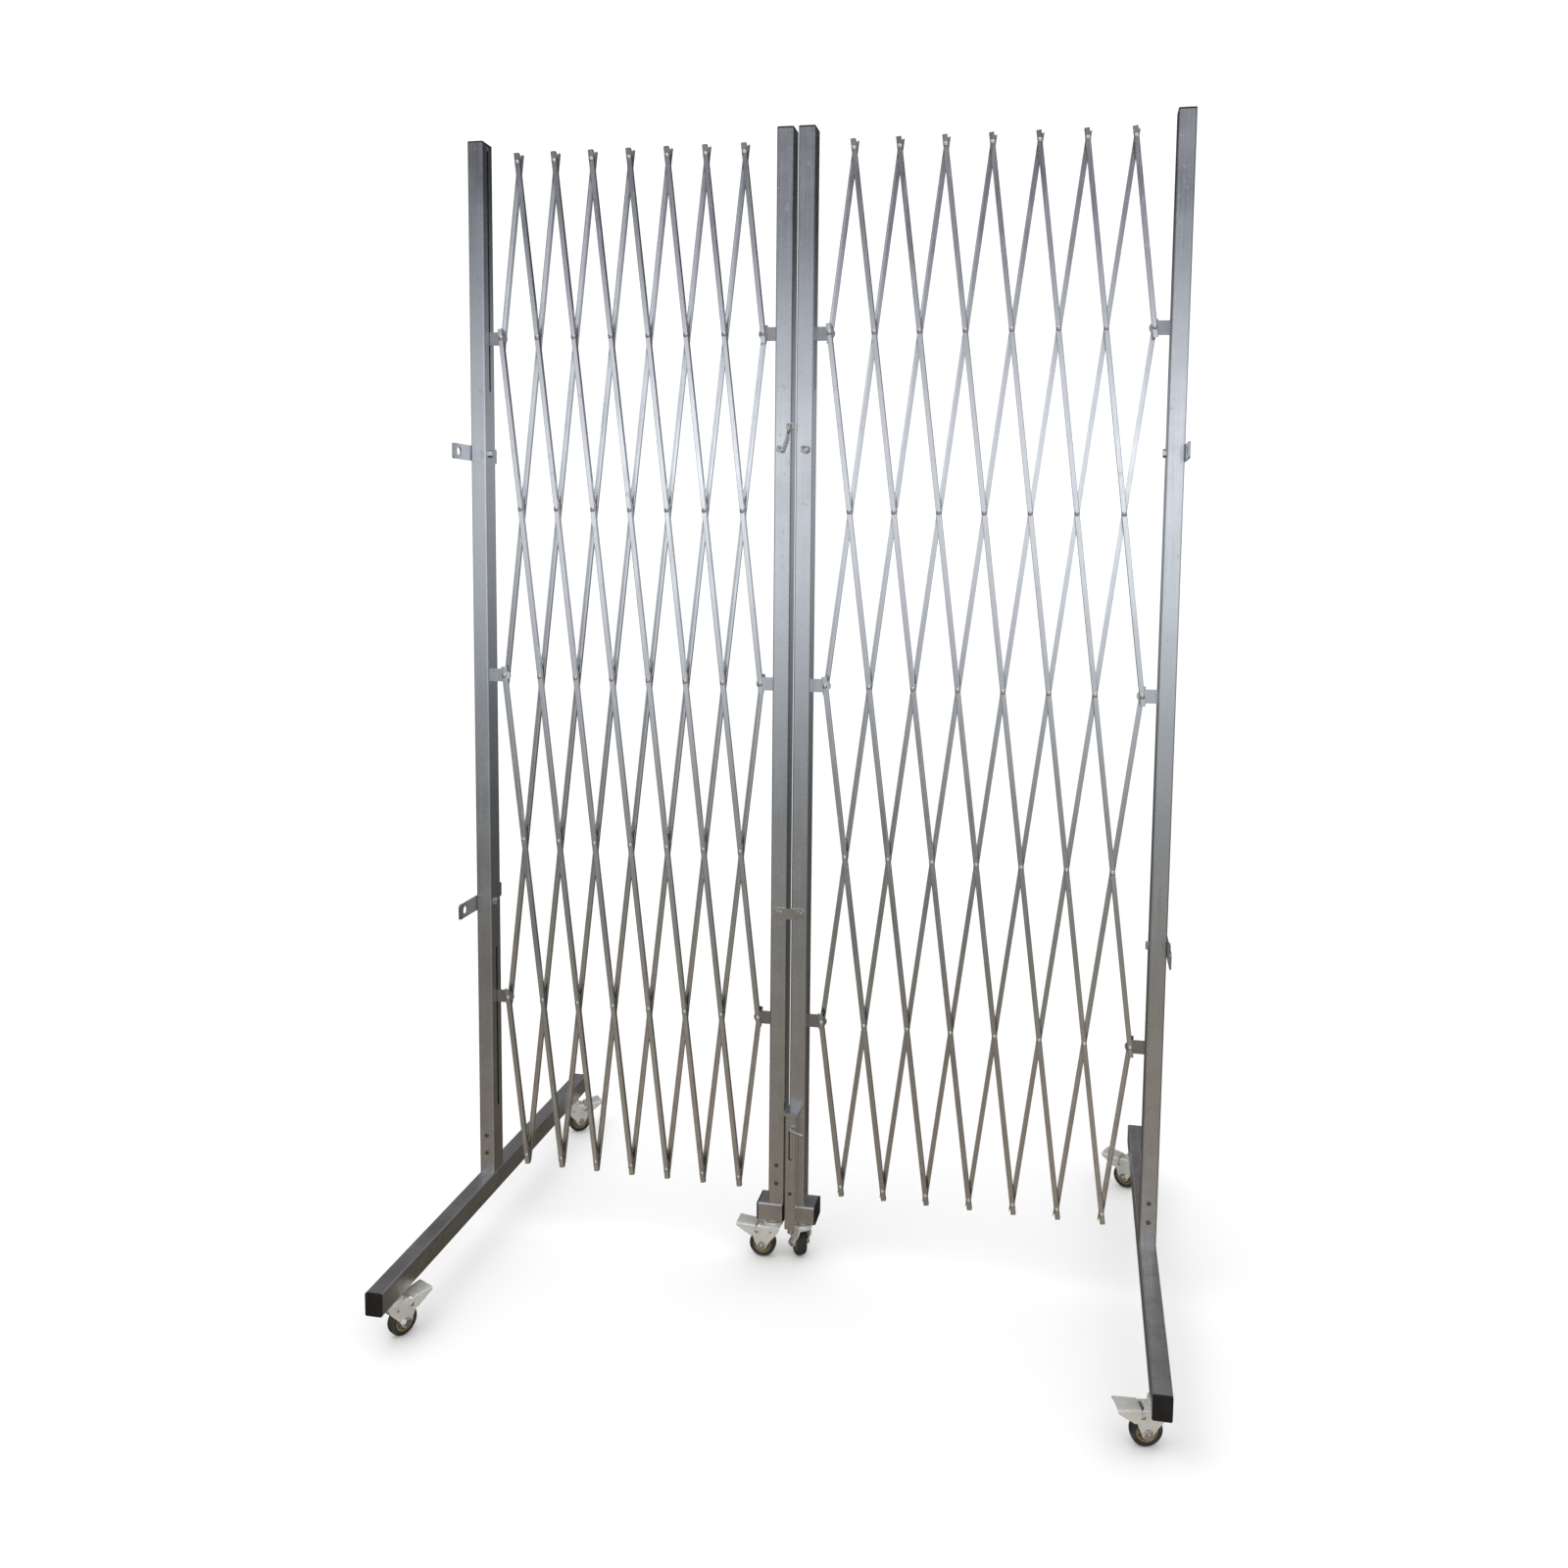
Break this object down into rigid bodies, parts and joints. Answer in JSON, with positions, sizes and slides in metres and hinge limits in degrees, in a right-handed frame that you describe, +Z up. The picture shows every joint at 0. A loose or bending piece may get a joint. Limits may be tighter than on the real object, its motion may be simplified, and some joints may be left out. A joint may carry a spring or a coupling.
{
  "type": "crowd control barrier",
  "caption": "Free-standing expanding lattice barrier: two latched scissor gates between four square posts, on long end feet and short centre feet with braked swivel castors.",
  "frame": {"origin": "on the floor, at the middle of the footprint's box", "axes": "+X along the gates to the right, +Y to the back, +Z up"},
  "size_m": [1.302, 0.89, 2.0665],
  "materials": {
    "galvanised": "dull galvanised steel",
    "zinc_bar": "zinc-plated pressed steel",
    "bright_zinc": "bright zinc plate",
    "zinc_castor": "bright zinc plate with rubber tyres",
    "black_plastic": "moulded caps",
    "tyre_rubber": "grey-black tyres",
    "wheel_core": "olive-brown wheel cores"
  },
  "bodies": {
    "centre_frame": {"left_inner_post": "galvanised", "right_inner_post": "galvanised", "centre_feet": "galvanised"},
    "left_rear_bar_02": {"left_rear_bar_02": "zinc_bar"},
    "left_front_bar_03": {"left_front_bar_03": "zinc_bar"},
    "left_rear_bar_04": {"left_rear_bar_04": "zinc_bar"},
    "left_front_bar_05": {"left_front_bar_05": "zinc_bar"},
    "left_rear_bar_06": {"left_rear_bar_06": "zinc_bar"},
    "left_front_bar_07": {"left_front_bar_07": "zinc_bar"},
    "left_rear_bar_08": {"left_rear_bar_08": "zinc_bar"},
    "left_front_bar_09": {"left_front_bar_09": "zinc_bar"},
    "left_front_bar_02": {"left_front_bar_02": "zinc_bar"},
    "left_rear_bar_03": {"left_rear_bar_03": "zinc_bar"},
    "left_front_bar_04": {"left_front_bar_04": "zinc_bar"},
    "left_rear_bar_05": {"left_rear_bar_05": "zinc_bar"},
    "left_front_bar_06": {"left_front_bar_06": "zinc_bar"},
    "left_rear_bar_07": {"left_rear_bar_07": "zinc_bar"},
    "left_front_bar_08": {"left_front_bar_08": "zinc_bar"},
    "left_rear_bar_09": {"left_rear_bar_09": "zinc_bar"},
    "left_rear_bar_01": {"left_rear_bar_01": "zinc_bar"},
    "left_rear_bar_10": {"left_rear_bar_10": "zinc_bar"},
    "left_front_bar_01": {"left_front_bar_01": "zinc_bar"},
    "left_front_bar_10": {"left_front_bar_10": "zinc_bar"},
    "left_inner_top_slider": {"left_inner_top_slider": "zinc_bar"},
    "left_inner_bottom_slider": {"left_inner_bottom_slider": "zinc_bar"},
    "left_outer_top_slider": {"left_outer_top_slider": "zinc_bar"},
    "left_outer_bottom_slider": {"left_outer_bottom_slider": "zinc_bar"},
    "left_outer_frame": {"left_outer_post": "galvanised", "left_foot": "galvanised", "left_castors": "zinc_castor"},
    "right_front_bar_02": {"right_front_bar_02": "zinc_bar"},
    "right_rear_bar_03": {"right_rear_bar_03": "zinc_bar"},
    "right_front_bar_04": {"right_front_bar_04": "zinc_bar"},
    "right_rear_bar_05": {"right_rear_bar_05": "zinc_bar"},
    "right_front_bar_06": {"right_front_bar_06": "zinc_bar"},
    "right_rear_bar_07": {"right_rear_bar_07": "zinc_bar"},
    "right_front_bar_08": {"right_front_bar_08": "zinc_bar"},
    "right_rear_bar_09": {"right_rear_bar_09": "zinc_bar"},
    "right_rear_bar_02": {"right_rear_bar_02": "zinc_bar"},
    "right_front_bar_03": {"right_front_bar_03": "zinc_bar"},
    "right_rear_bar_04": {"right_rear_bar_04": "zinc_bar"},
    "right_front_bar_05": {"right_front_bar_05": "zinc_bar"},
    "right_rear_bar_06": {"right_rear_bar_06": "zinc_bar"},
    "right_front_bar_07": {"right_front_bar_07": "zinc_bar"},
    "right_rear_bar_08": {"right_rear_bar_08": "zinc_bar"},
    "right_front_bar_09": {"right_front_bar_09": "zinc_bar"},
    "right_front_bar_01": {"right_front_bar_01": "zinc_bar"},
    "right_front_bar_10": {"right_front_bar_10": "zinc_bar"},
    "right_rear_bar_01": {"right_rear_bar_01": "zinc_bar"},
    "right_rear_bar_10": {"right_rear_bar_10": "zinc_bar"},
    "right_inner_top_slider": {"right_inner_top_slider": "zinc_bar"},
    "right_inner_bottom_slider": {"right_inner_bottom_slider": "zinc_bar"},
    "right_outer_top_slider": {"right_outer_top_slider": "zinc_bar"},
    "right_outer_bottom_slider": {"right_outer_bottom_slider": "zinc_bar"},
    "right_outer_frame": {"right_outer_post": "galvanised", "right_foot": "galvanised", "right_castors": "zinc_castor"},
    "cabin_hook": {"cabin_hook": "bright_zinc"},
    "strap_latch": {"strap_latch": "bright_zinc"},
    "drop_bolt": {"drop_bolt": "bright_zinc"}
  },
  "joints": [
    {"name": "left_gate_fold", "type": "hinge", "parent": "centre_frame", "child": "left_rear_bar_02", "pos_m": [-0.09, -0.011, 1.0895], "axis": [0, 1, 0], "range_deg": [-4.47, 23.84]},
    {"name": "left_front_bar_03_pivot", "type": "hinge", "parent": "left_rear_bar_02", "child": "left_front_bar_03", "pos_m": [-0.1255, -0.011, 0.77651], "axis": [0, -1, 0], "range_deg": [-8.95, 47.7]},
    {"name": "left_rear_bar_04_pivot", "type": "hinge", "parent": "left_front_bar_03", "child": "left_rear_bar_04", "pos_m": [-0.1965, -0.011, 1.40249], "axis": [0, 1, 0], "range_deg": [-8.95, 47.7]},
    {"name": "left_front_bar_05_pivot", "type": "hinge", "parent": "left_rear_bar_04", "child": "left_front_bar_05", "pos_m": [-0.2675, -0.011, 0.77651], "axis": [0, -1, 0], "range_deg": [-8.95, 47.7]},
    {"name": "left_rear_bar_06_pivot", "type": "hinge", "parent": "left_front_bar_05", "child": "left_rear_bar_06", "pos_m": [-0.3385, -0.011, 1.40249], "axis": [0, 1, 0], "range_deg": [-8.95, 47.7]},
    {"name": "left_front_bar_07_pivot", "type": "hinge", "parent": "left_rear_bar_06", "child": "left_front_bar_07", "pos_m": [-0.4095, -0.011, 0.77651], "axis": [0, -1, 0], "range_deg": [-8.95, 47.7]},
    {"name": "left_rear_bar_08_pivot", "type": "hinge", "parent": "left_front_bar_07", "child": "left_rear_bar_08", "pos_m": [-0.4805, -0.011, 1.40249], "axis": [0, 1, 0], "range_deg": [-8.95, 47.7]},
    {"name": "left_front_bar_09_pivot", "type": "hinge", "parent": "left_rear_bar_08", "child": "left_front_bar_09", "pos_m": [-0.5515, -0.011, 0.77651], "axis": [0, -1, 0], "range_deg": [-8.95, 47.7]},
    {"name": "left_front_bar_02_pivot", "type": "hinge", "parent": "centre_frame", "child": "left_front_bar_02", "pos_m": [-0.09, -0.011, 1.0895], "axis": [0, -1, 0], "range_deg": [-4.48, 23.85]},
    {"name": "left_rear_bar_03_pivot", "type": "hinge", "parent": "left_front_bar_02", "child": "left_rear_bar_03", "pos_m": [-0.1255, -0.011, 1.40249], "axis": [0, 1, 0], "range_deg": [-8.95, 47.7]},
    {"name": "left_front_bar_04_pivot", "type": "hinge", "parent": "left_rear_bar_03", "child": "left_front_bar_04", "pos_m": [-0.1965, -0.011, 0.77651], "axis": [0, -1, 0], "range_deg": [-8.95, 47.7]},
    {"name": "left_rear_bar_05_pivot", "type": "hinge", "parent": "left_front_bar_04", "child": "left_rear_bar_05", "pos_m": [-0.2675, -0.011, 1.40249], "axis": [0, 1, 0], "range_deg": [-8.95, 47.7]},
    {"name": "left_front_bar_06_pivot", "type": "hinge", "parent": "left_rear_bar_05", "child": "left_front_bar_06", "pos_m": [-0.3385, -0.011, 0.77651], "axis": [0, -1, 0], "range_deg": [-8.95, 47.7]},
    {"name": "left_rear_bar_07_pivot", "type": "hinge", "parent": "left_front_bar_06", "child": "left_rear_bar_07", "pos_m": [-0.4095, -0.011, 1.40249], "axis": [0, 1, 0], "range_deg": [-8.95, 47.7]},
    {"name": "left_front_bar_08_pivot", "type": "hinge", "parent": "left_rear_bar_07", "child": "left_front_bar_08", "pos_m": [-0.4805, -0.011, 0.77651], "axis": [0, -1, 0], "range_deg": [-8.95, 47.7]},
    {"name": "left_rear_bar_09_pivot", "type": "hinge", "parent": "left_front_bar_08", "child": "left_rear_bar_09", "pos_m": [-0.5515, -0.011, 1.40249], "axis": [0, 1, 0], "range_deg": [-8.95, 47.7]},
    {"name": "left_rear_bar_01_pivot", "type": "hinge", "parent": "left_front_bar_03", "child": "left_rear_bar_01", "pos_m": [-0.09, -0.011, 0.46351], "axis": [0, 1, 0], "range_deg": [-8.95, 47.7]},
    {"name": "left_rear_bar_10_pivot", "type": "hinge", "parent": "left_front_bar_08", "child": "left_rear_bar_10", "pos_m": [-0.587, -0.011, 1.71549], "axis": [0, 1, 0], "range_deg": [-8.95, 47.7]},
    {"name": "left_front_bar_01_pivot", "type": "hinge", "parent": "left_rear_bar_03", "child": "left_front_bar_01", "pos_m": [-0.09, -0.011, 1.71549], "axis": [0, -1, 0], "range_deg": [-8.95, 47.7]},
    {"name": "left_front_bar_10_pivot", "type": "hinge", "parent": "left_rear_bar_08", "child": "left_front_bar_10", "pos_m": [-0.587, -0.011, 0.46351], "axis": [0, -1, 0], "range_deg": [-8.95, 47.7]},
    {"name": "left_inner_top_slider_pivot", "type": "hinge", "parent": "left_rear_bar_03", "child": "left_inner_top_slider", "pos_m": [-0.09, -0.011, 1.71549], "axis": [0, -1, 0], "range_deg": [-4.48, 23.85]},
    {"name": "left_inner_bottom_slider_pivot", "type": "hinge", "parent": "left_front_bar_03", "child": "left_inner_bottom_slider", "pos_m": [-0.09, -0.011, 0.46351], "axis": [0, 1, 0], "range_deg": [-4.48, 23.85]},
    {"name": "left_outer_top_slider_pivot", "type": "hinge", "parent": "left_front_bar_08", "child": "left_outer_top_slider", "pos_m": [-0.587, -0.011, 1.71549], "axis": [0, 1, 0], "range_deg": [-4.48, 23.85]},
    {"name": "left_outer_bottom_slider_pivot", "type": "hinge", "parent": "left_rear_bar_08", "child": "left_outer_bottom_slider", "pos_m": [-0.587, -0.011, 0.46351], "axis": [0, -1, 0], "range_deg": [-4.48, 23.85]},
    {"name": "left_outer_frame_pivot", "type": "hinge", "parent": "left_front_bar_09", "child": "left_outer_frame", "pos_m": [-0.587, -0.011, 1.0895], "axis": [0, 1, 0], "range_deg": [-4.48, 23.85]},
    {"name": "right_gate_fold", "type": "hinge", "parent": "centre_frame", "child": "right_front_bar_02", "pos_m": [0.0305, -0.011, 1.0895], "axis": [0, -1, 0], "range_deg": [-5.25, 23.07]},
    {"name": "right_rear_bar_03_pivot", "type": "hinge", "parent": "right_front_bar_02", "child": "right_rear_bar_03", "pos_m": [0.07025, -0.011, 0.77702], "axis": [0, 1, 0], "range_deg": [-10.51, 46.14]},
    {"name": "right_front_bar_04_pivot", "type": "hinge", "parent": "right_rear_bar_03", "child": "right_front_bar_04", "pos_m": [0.14975, -0.011, 1.40198], "axis": [0, -1, 0], "range_deg": [-10.51, 46.14]},
    {"name": "right_rear_bar_05_pivot", "type": "hinge", "parent": "right_front_bar_04", "child": "right_rear_bar_05", "pos_m": [0.22925, -0.011, 0.77702], "axis": [0, 1, 0], "range_deg": [-10.51, 46.14]},
    {"name": "right_front_bar_06_pivot", "type": "hinge", "parent": "right_rear_bar_05", "child": "right_front_bar_06", "pos_m": [0.30875, -0.011, 1.40198], "axis": [0, -1, 0], "range_deg": [-10.51, 46.14]},
    {"name": "right_rear_bar_07_pivot", "type": "hinge", "parent": "right_front_bar_06", "child": "right_rear_bar_07", "pos_m": [0.38825, -0.011, 0.77702], "axis": [0, 1, 0], "range_deg": [-10.51, 46.14]},
    {"name": "right_front_bar_08_pivot", "type": "hinge", "parent": "right_rear_bar_07", "child": "right_front_bar_08", "pos_m": [0.46775, -0.011, 1.40198], "axis": [0, -1, 0], "range_deg": [-10.51, 46.14]},
    {"name": "right_rear_bar_09_pivot", "type": "hinge", "parent": "right_front_bar_08", "child": "right_rear_bar_09", "pos_m": [0.54725, -0.011, 0.77702], "axis": [0, 1, 0], "range_deg": [-10.51, 46.14]},
    {"name": "right_rear_bar_02_pivot", "type": "hinge", "parent": "centre_frame", "child": "right_rear_bar_02", "pos_m": [0.0305, -0.011, 1.0895], "axis": [0, 1, 0], "range_deg": [-5.26, 23.08]},
    {"name": "right_front_bar_03_pivot", "type": "hinge", "parent": "right_rear_bar_02", "child": "right_front_bar_03", "pos_m": [0.07025, -0.011, 1.40198], "axis": [0, -1, 0], "range_deg": [-10.51, 46.14]},
    {"name": "right_rear_bar_04_pivot", "type": "hinge", "parent": "right_front_bar_03", "child": "right_rear_bar_04", "pos_m": [0.14975, -0.011, 0.77702], "axis": [0, 1, 0], "range_deg": [-10.51, 46.14]},
    {"name": "right_front_bar_05_pivot", "type": "hinge", "parent": "right_rear_bar_04", "child": "right_front_bar_05", "pos_m": [0.22925, -0.011, 1.40198], "axis": [0, -1, 0], "range_deg": [-10.51, 46.14]},
    {"name": "right_rear_bar_06_pivot", "type": "hinge", "parent": "right_front_bar_05", "child": "right_rear_bar_06", "pos_m": [0.30875, -0.011, 0.77702], "axis": [0, 1, 0], "range_deg": [-10.51, 46.14]},
    {"name": "right_front_bar_07_pivot", "type": "hinge", "parent": "right_rear_bar_06", "child": "right_front_bar_07", "pos_m": [0.38825, -0.011, 1.40198], "axis": [0, -1, 0], "range_deg": [-10.51, 46.14]},
    {"name": "right_rear_bar_08_pivot", "type": "hinge", "parent": "right_front_bar_07", "child": "right_rear_bar_08", "pos_m": [0.46775, -0.011, 0.77702], "axis": [0, 1, 0], "range_deg": [-10.51, 46.14]},
    {"name": "right_front_bar_09_pivot", "type": "hinge", "parent": "right_rear_bar_08", "child": "right_front_bar_09", "pos_m": [0.54725, -0.011, 1.40198], "axis": [0, -1, 0], "range_deg": [-10.51, 46.14]},
    {"name": "right_front_bar_01_pivot", "type": "hinge", "parent": "right_rear_bar_03", "child": "right_front_bar_01", "pos_m": [0.0305, -0.011, 0.46454], "axis": [0, -1, 0], "range_deg": [-10.51, 46.14]},
    {"name": "right_front_bar_10_pivot", "type": "hinge", "parent": "right_rear_bar_08", "child": "right_front_bar_10", "pos_m": [0.587, -0.011, 1.71446], "axis": [0, -1, 0], "range_deg": [-10.51, 46.14]},
    {"name": "right_rear_bar_01_pivot", "type": "hinge", "parent": "right_front_bar_03", "child": "right_rear_bar_01", "pos_m": [0.0305, -0.011, 1.71446], "axis": [0, 1, 0], "range_deg": [-10.51, 46.14]},
    {"name": "right_rear_bar_10_pivot", "type": "hinge", "parent": "right_front_bar_08", "child": "right_rear_bar_10", "pos_m": [0.587, -0.011, 0.46454], "axis": [0, 1, 0], "range_deg": [-10.51, 46.14]},
    {"name": "right_inner_top_slider_pivot", "type": "hinge", "parent": "right_front_bar_03", "child": "right_inner_top_slider", "pos_m": [0.0305, -0.011, 1.71446], "axis": [0, 1, 0], "range_deg": [-5.26, 23.08]},
    {"name": "right_inner_bottom_slider_pivot", "type": "hinge", "parent": "right_rear_bar_03", "child": "right_inner_bottom_slider", "pos_m": [0.0305, -0.011, 0.46454], "axis": [0, -1, 0], "range_deg": [-5.26, 23.08]},
    {"name": "right_outer_top_slider_pivot", "type": "hinge", "parent": "right_rear_bar_08", "child": "right_outer_top_slider", "pos_m": [0.587, -0.011, 1.71446], "axis": [0, -1, 0], "range_deg": [-5.26, 23.08]},
    {"name": "right_outer_bottom_slider_pivot", "type": "hinge", "parent": "right_front_bar_08", "child": "right_outer_bottom_slider", "pos_m": [0.587, -0.011, 0.46454], "axis": [0, 1, 0], "range_deg": [-5.26, 23.08]},
    {"name": "right_outer_frame_pivot", "type": "hinge", "parent": "right_rear_bar_09", "child": "right_outer_frame", "pos_m": [0.587, -0.011, 1.0895], "axis": [0, -1, 0], "range_deg": [-5.26, 23.08]},
    {"name": "cabin_hook_swing", "type": "hinge", "parent": "centre_frame", "child": "cabin_hook", "pos_m": [-0.0336, -0.0392, 1.55], "axis": [0, -1, 0], "range_deg": [-10, 38]},
    {"name": "strap_latch_lift", "type": "hinge", "parent": "centre_frame", "child": "strap_latch", "pos_m": [-0.049, -0.0325, 0.67], "axis": [0, -1, 0], "range_deg": [0, 110]},
    {"name": "drop_bolt_slide", "type": "slide", "parent": "centre_frame", "child": "drop_bolt", "axis": [0, 0, -1], "range_m": [0, 0.058]}
  ],
  "couplings": [
    {"joint": "left_front_bar_03_pivot", "follows": "left_gate_fold", "ratio": 2},
    {"joint": "left_rear_bar_04_pivot", "follows": "left_gate_fold", "ratio": 2},
    {"joint": "left_front_bar_05_pivot", "follows": "left_gate_fold", "ratio": 2},
    {"joint": "left_rear_bar_06_pivot", "follows": "left_gate_fold", "ratio": 2},
    {"joint": "left_front_bar_07_pivot", "follows": "left_gate_fold", "ratio": 2},
    {"joint": "left_rear_bar_08_pivot", "follows": "left_gate_fold", "ratio": 2},
    {"joint": "left_front_bar_09_pivot", "follows": "left_gate_fold", "ratio": 2},
    {"joint": "left_front_bar_02_pivot", "follows": "left_gate_fold", "ratio": 1},
    {"joint": "left_rear_bar_03_pivot", "follows": "left_gate_fold", "ratio": 2},
    {"joint": "left_front_bar_04_pivot", "follows": "left_gate_fold", "ratio": 2},
    {"joint": "left_rear_bar_05_pivot", "follows": "left_gate_fold", "ratio": 2},
    {"joint": "left_front_bar_06_pivot", "follows": "left_gate_fold", "ratio": 2},
    {"joint": "left_rear_bar_07_pivot", "follows": "left_gate_fold", "ratio": 2},
    {"joint": "left_front_bar_08_pivot", "follows": "left_gate_fold", "ratio": 2},
    {"joint": "left_rear_bar_09_pivot", "follows": "left_gate_fold", "ratio": 2},
    {"joint": "left_rear_bar_01_pivot", "follows": "left_gate_fold", "ratio": 2},
    {"joint": "left_rear_bar_10_pivot", "follows": "left_gate_fold", "ratio": 2},
    {"joint": "left_front_bar_01_pivot", "follows": "left_gate_fold", "ratio": 2},
    {"joint": "left_front_bar_10_pivot", "follows": "left_gate_fold", "ratio": 2},
    {"joint": "left_inner_top_slider_pivot", "follows": "left_gate_fold", "ratio": 1},
    {"joint": "left_inner_bottom_slider_pivot", "follows": "left_gate_fold", "ratio": 1},
    {"joint": "left_outer_top_slider_pivot", "follows": "left_gate_fold", "ratio": 1},
    {"joint": "left_outer_bottom_slider_pivot", "follows": "left_gate_fold", "ratio": 1},
    {"joint": "left_outer_frame_pivot", "follows": "left_gate_fold", "ratio": 1},
    {"joint": "right_rear_bar_03_pivot", "follows": "right_gate_fold", "ratio": 2},
    {"joint": "right_front_bar_04_pivot", "follows": "right_gate_fold", "ratio": 2},
    {"joint": "right_rear_bar_05_pivot", "follows": "right_gate_fold", "ratio": 2},
    {"joint": "right_front_bar_06_pivot", "follows": "right_gate_fold", "ratio": 2},
    {"joint": "right_rear_bar_07_pivot", "follows": "right_gate_fold", "ratio": 2},
    {"joint": "right_front_bar_08_pivot", "follows": "right_gate_fold", "ratio": 2},
    {"joint": "right_rear_bar_09_pivot", "follows": "right_gate_fold", "ratio": 2},
    {"joint": "right_rear_bar_02_pivot", "follows": "right_gate_fold", "ratio": 1},
    {"joint": "right_front_bar_03_pivot", "follows": "right_gate_fold", "ratio": 2},
    {"joint": "right_rear_bar_04_pivot", "follows": "right_gate_fold", "ratio": 2},
    {"joint": "right_front_bar_05_pivot", "follows": "right_gate_fold", "ratio": 2},
    {"joint": "right_rear_bar_06_pivot", "follows": "right_gate_fold", "ratio": 2},
    {"joint": "right_front_bar_07_pivot", "follows": "right_gate_fold", "ratio": 2},
    {"joint": "right_rear_bar_08_pivot", "follows": "right_gate_fold", "ratio": 2},
    {"joint": "right_front_bar_09_pivot", "follows": "right_gate_fold", "ratio": 2},
    {"joint": "right_front_bar_01_pivot", "follows": "right_gate_fold", "ratio": 2},
    {"joint": "right_front_bar_10_pivot", "follows": "right_gate_fold", "ratio": 2},
    {"joint": "right_rear_bar_01_pivot", "follows": "right_gate_fold", "ratio": 2},
    {"joint": "right_rear_bar_10_pivot", "follows": "right_gate_fold", "ratio": 2},
    {"joint": "right_inner_top_slider_pivot", "follows": "right_gate_fold", "ratio": 1},
    {"joint": "right_inner_bottom_slider_pivot", "follows": "right_gate_fold", "ratio": 1},
    {"joint": "right_outer_top_slider_pivot", "follows": "right_gate_fold", "ratio": 1},
    {"joint": "right_outer_bottom_slider_pivot", "follows": "right_gate_fold", "ratio": 1},
    {"joint": "right_outer_frame_pivot", "follows": "right_gate_fold", "ratio": 1}
  ]
}
